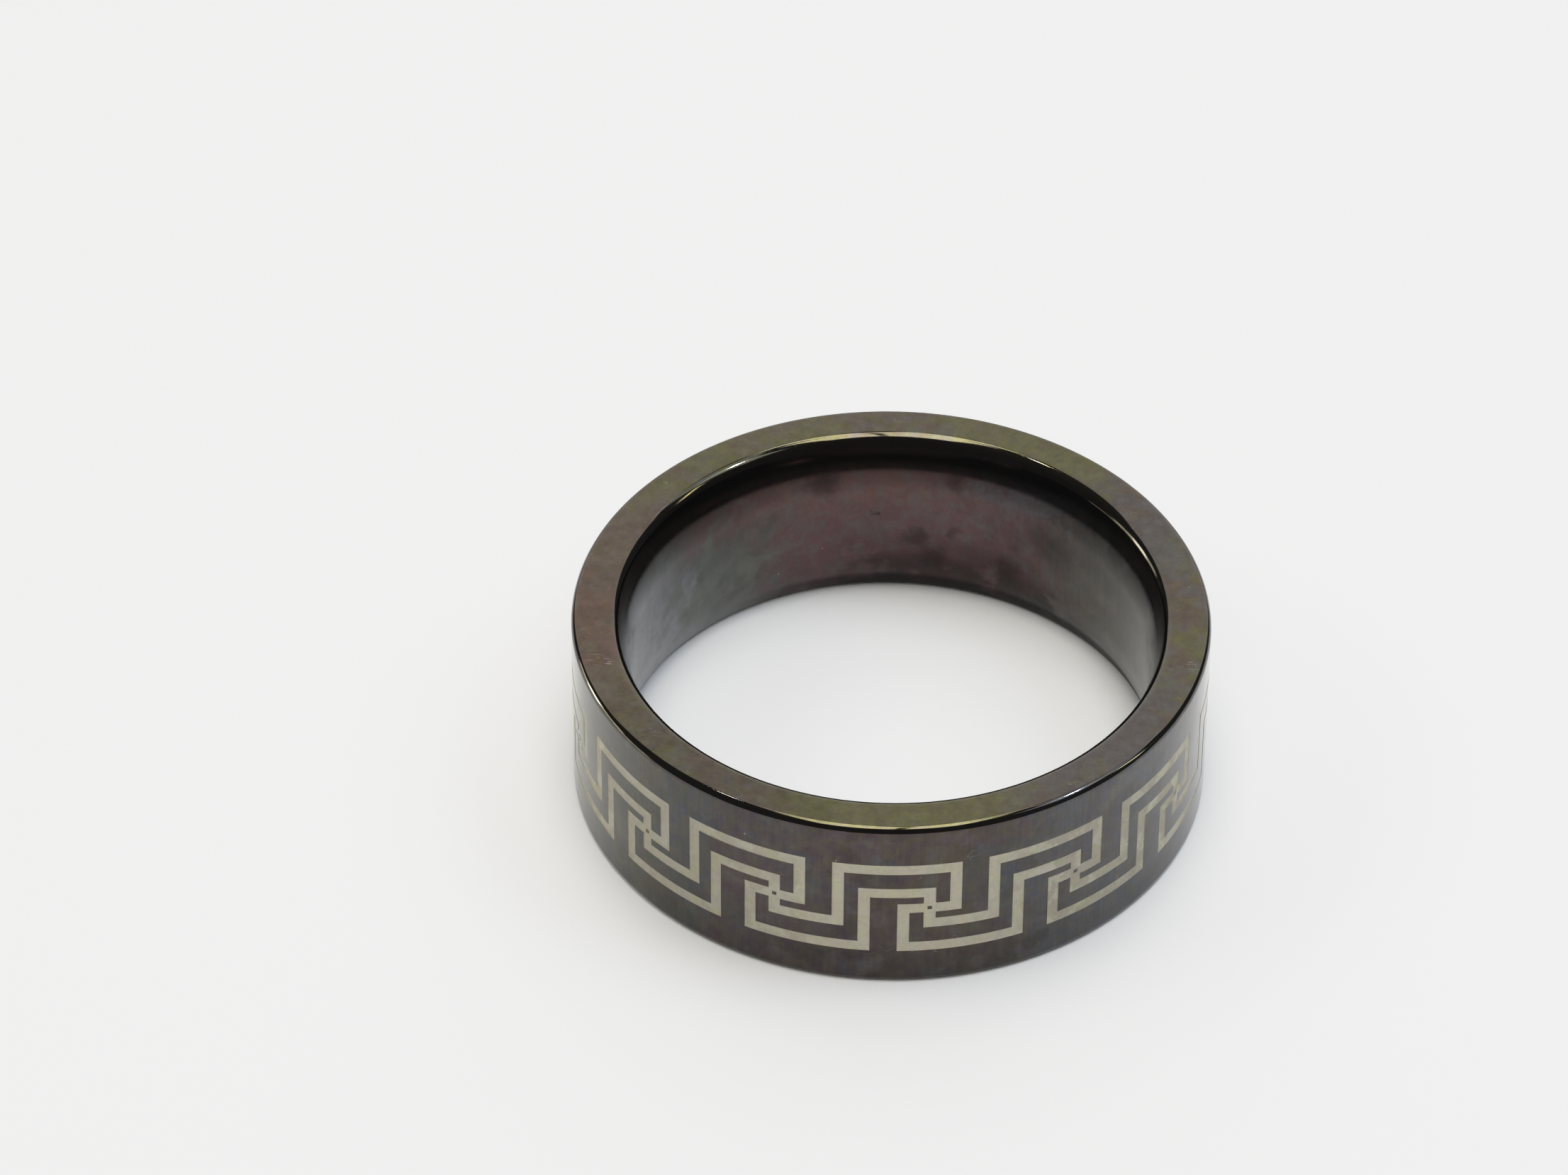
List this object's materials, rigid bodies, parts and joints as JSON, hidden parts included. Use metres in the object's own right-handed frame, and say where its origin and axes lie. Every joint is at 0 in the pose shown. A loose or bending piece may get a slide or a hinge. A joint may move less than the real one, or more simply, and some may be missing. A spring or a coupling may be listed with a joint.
{
  "type": "tungsten band ring",
  "caption": "Comfort-fit tungsten band ring with a dark polished coat and a Greek key engraved all round.",
  "frame": {"origin": "middle of the end face that the ring lies on", "axes": "+Z is the axis of the ring, up from the face that it lies on; -Y is the side that faces the viewer"},
  "size_m": [0.0252, 0.0252, 0.008],
  "materials": {
    "dark_coat": "dark polished coat over tungsten carbide; the key is engraved through it and shows pale matte carbide"
  },
  "bodies": {
    "root": {"band": "dark_coat"}
  },
  "joints": []
}
